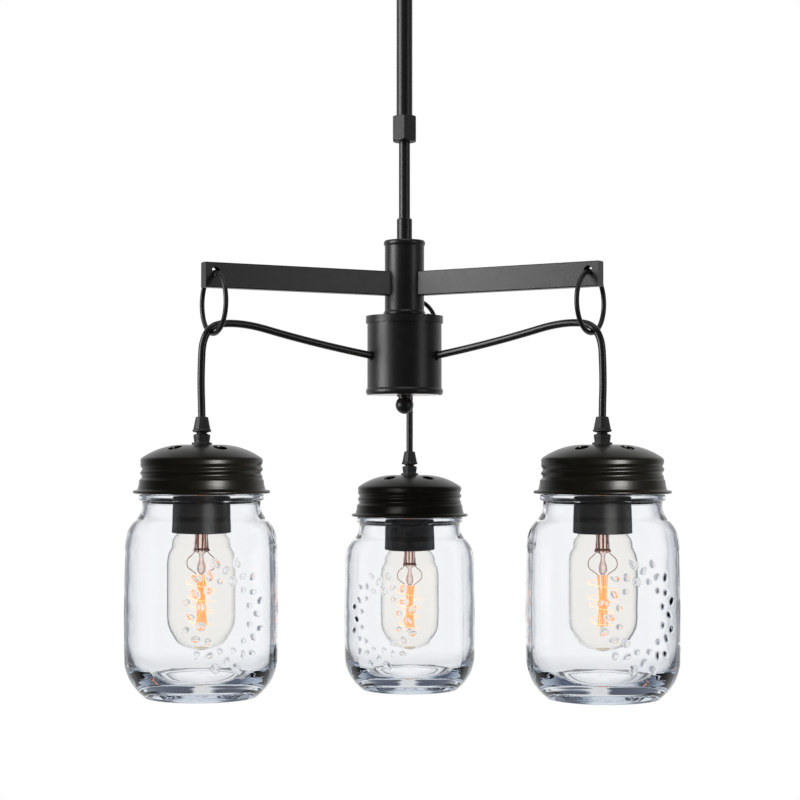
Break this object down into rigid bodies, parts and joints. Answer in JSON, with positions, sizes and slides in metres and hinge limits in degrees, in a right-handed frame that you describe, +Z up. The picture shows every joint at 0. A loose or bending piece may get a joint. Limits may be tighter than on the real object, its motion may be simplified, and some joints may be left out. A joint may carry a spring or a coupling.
{
  "type": "jar pendant chandelier",
  "caption": "Three-arm pendant chandelier on a telescoping rod, with clear glass jar lamps hung by cords through wire rings.",
  "frame": {"origin": "middle of the ceiling face, at the centre of the crossbar's two box slots", "axes": "+Z up into the ceiling, +Y along the back arm, -Y towards the viewer of the picture, +X to the right"},
  "size_m": [0.359, 0.3242, 0.7161],
  "materials": {
    "black_paint": "satin black powder coat",
    "zinc_steel": "zinc plated",
    "cover_bronze": "brown lacquer",
    "dark_screw": "blackened",
    "cord_jacket": "smooth, slightly glossy",
    "grip_plastic": "fine textured",
    "lid_bronze": "satin olive black bronze",
    "holder_ceramic": "unglazed",
    "base_nickel": "nickel plated",
    "bulb_glass": "clear",
    "stem_glass": "clear, pinkish",
    "gasket_rubber": "matte",
    "jar_glass": "clear pressed glass"
  },
  "bodies": {
    "ceiling_mount": {"crossbar": "zinc_steel", "canopy": "black_paint", "canopy_studs": "zinc_steel", "canopy_cap_nuts": "black_paint", "tube_nut": "zinc_steel", "outer_tube": "black_paint"},
    "lock_nut": {"lock_nut": "black_paint"},
    "collet": {"collet": "grip_plastic"},
    "hub": {"inner_tube": "black_paint", "coupling": "black_paint", "stem_rod": "zinc_steel", "column": "black_paint", "housing_shell": "black_paint", "housing_cap": "black_paint", "housing_cover": "cover_bronze", "housing_screw": "dark_screw", "cord_bushings": "grip_plastic", "finial": "black_paint", "left_arm": "black_paint", "right_arm": "black_paint", "back_arm": "black_paint", "back_cord_run": "cord_jacket", "left_cord_run": "cord_jacket", "right_cord_run": "cord_jacket"},
    "back_ring": {"back_ring": "black_paint"},
    "back_lamp": {"back_cord_drop": "cord_jacket", "back_grip_body": "grip_plastic", "back_grip_nut": "grip_plastic", "back_lid": "lid_bronze", "back_socket_cup": "lid_bronze", "back_lamp_holder": "holder_ceramic", "back_bulb_base": "base_nickel", "back_bulb_glass": "bulb_glass", "back_bulb_stem": "stem_glass"},
    "back_gasket": {"back_gasket": "gasket_rubber"},
    "back_jar": {"back_jar": "jar_glass"},
    "left_ring": {"left_ring": "black_paint"},
    "left_lamp": {"left_cord_drop": "cord_jacket", "left_grip_body": "grip_plastic", "left_grip_nut": "grip_plastic", "left_lid": "lid_bronze", "left_socket_cup": "lid_bronze", "left_lamp_holder": "holder_ceramic", "left_bulb_base": "base_nickel", "left_bulb_glass": "bulb_glass", "left_bulb_stem": "stem_glass"},
    "left_gasket": {"left_gasket": "gasket_rubber"},
    "left_jar": {"left_jar": "jar_glass"},
    "right_ring": {"right_ring": "black_paint"},
    "right_lamp": {"right_cord_drop": "cord_jacket", "right_grip_body": "grip_plastic", "right_grip_nut": "grip_plastic", "right_lid": "lid_bronze", "right_socket_cup": "lid_bronze", "right_lamp_holder": "holder_ceramic", "right_bulb_base": "base_nickel", "right_bulb_glass": "bulb_glass", "right_bulb_stem": "stem_glass"},
    "right_gasket": {"right_gasket": "gasket_rubber"},
    "right_jar": {"right_jar": "jar_glass"}
  },
  "joints": [
    {"name": "lock_nut_turn", "type": "hinge", "parent": "ceiling_mount", "child": "lock_nut", "pos_m": [0, 0, -0.3228], "axis": [0, 0, 1], "range_deg": [0, 180]},
    {"name": "rod_turn", "type": "hinge", "parent": "ceiling_mount", "child": "collet", "pos_m": [0, 0, -0.3228], "axis": [0, 0, 1], "range_deg": [-170, 170]},
    {"name": "rod_slide", "type": "slide", "parent": "collet", "child": "hub", "axis": [0, 0, 1], "range_m": [-0.19, 0.045]},
    {"name": "back_ring_swing", "type": "hinge", "parent": "hub", "child": "back_ring", "pos_m": [0, 0.14135, -0.4186], "axis": [1, 0, 0], "range_deg": [-12, 20], "stiffness_Nm_per_rad": 0.15, "springref_deg": 21.08, "deforming": ["back_cord_run"]},
    {"name": "back_lamp_sway", "type": "hinge", "parent": "back_ring", "child": "back_lamp", "pos_m": [0, 0.1495, -0.45765], "axis": [0, 1, 0], "range_deg": [-12, 12], "deforming": ["back_cord_run"]},
    {"name": "back_jar_drop", "type": "slide", "parent": "back_lamp", "child": "back_gasket", "axis": [0, 0, 1], "range_m": [-0.00508, 0]},
    {"name": "back_jar_turn", "type": "hinge", "parent": "back_gasket", "child": "back_jar", "pos_m": [0, 0.1495, -0.5536], "axis": [0, 0, 1], "range_deg": [-360, 0]},
    {"name": "left_ring_swing", "type": "hinge", "parent": "hub", "child": "left_ring", "pos_m": [-0.12241, -0.07068, -0.4186], "axis": [-0.5, 0.866, 0], "range_deg": [-12, 20], "stiffness_Nm_per_rad": 0.15, "springref_deg": 21.08, "deforming": ["left_cord_run"]},
    {"name": "left_lamp_sway", "type": "hinge", "parent": "left_ring", "child": "left_lamp", "pos_m": [-0.12947, -0.07475, -0.45765], "axis": [-0.866, -0.5, 0], "range_deg": [-12, 12], "deforming": ["left_cord_run"]},
    {"name": "left_jar_drop", "type": "slide", "parent": "left_lamp", "child": "left_gasket", "axis": [0, 0, 1], "range_m": [-0.00508, 0]},
    {"name": "left_jar_turn", "type": "hinge", "parent": "left_gasket", "child": "left_jar", "pos_m": [-0.12947, -0.07475, -0.5316], "axis": [0, 0, 1], "range_deg": [-360, 0]},
    {"name": "right_ring_swing", "type": "hinge", "parent": "hub", "child": "right_ring", "pos_m": [0.12241, -0.07068, -0.4186], "axis": [-0.5, -0.866, 0], "range_deg": [-12, 20], "stiffness_Nm_per_rad": 0.15, "springref_deg": 21.08, "deforming": ["right_cord_run"]},
    {"name": "right_lamp_sway", "type": "hinge", "parent": "right_ring", "child": "right_lamp", "pos_m": [0.12947, -0.07475, -0.45765], "axis": [0.866, -0.5, 0], "range_deg": [-12, 12], "deforming": ["right_cord_run"]},
    {"name": "right_jar_drop", "type": "slide", "parent": "right_lamp", "child": "right_gasket", "axis": [0, 0, 1], "range_m": [-0.00508, 0]},
    {"name": "right_jar_turn", "type": "hinge", "parent": "right_gasket", "child": "right_jar", "pos_m": [0.12947, -0.07475, -0.5316], "axis": [0, 0, 1], "range_deg": [-360, 0]}
  ],
  "couplings": [
    {"joint": "back_jar_drop", "follows": "back_jar_turn", "m_per_rad": 0.00080851},
    {"joint": "left_jar_drop", "follows": "left_jar_turn", "m_per_rad": 0.00080851},
    {"joint": "right_jar_drop", "follows": "right_jar_turn", "m_per_rad": 0.00080851}
  ]
}
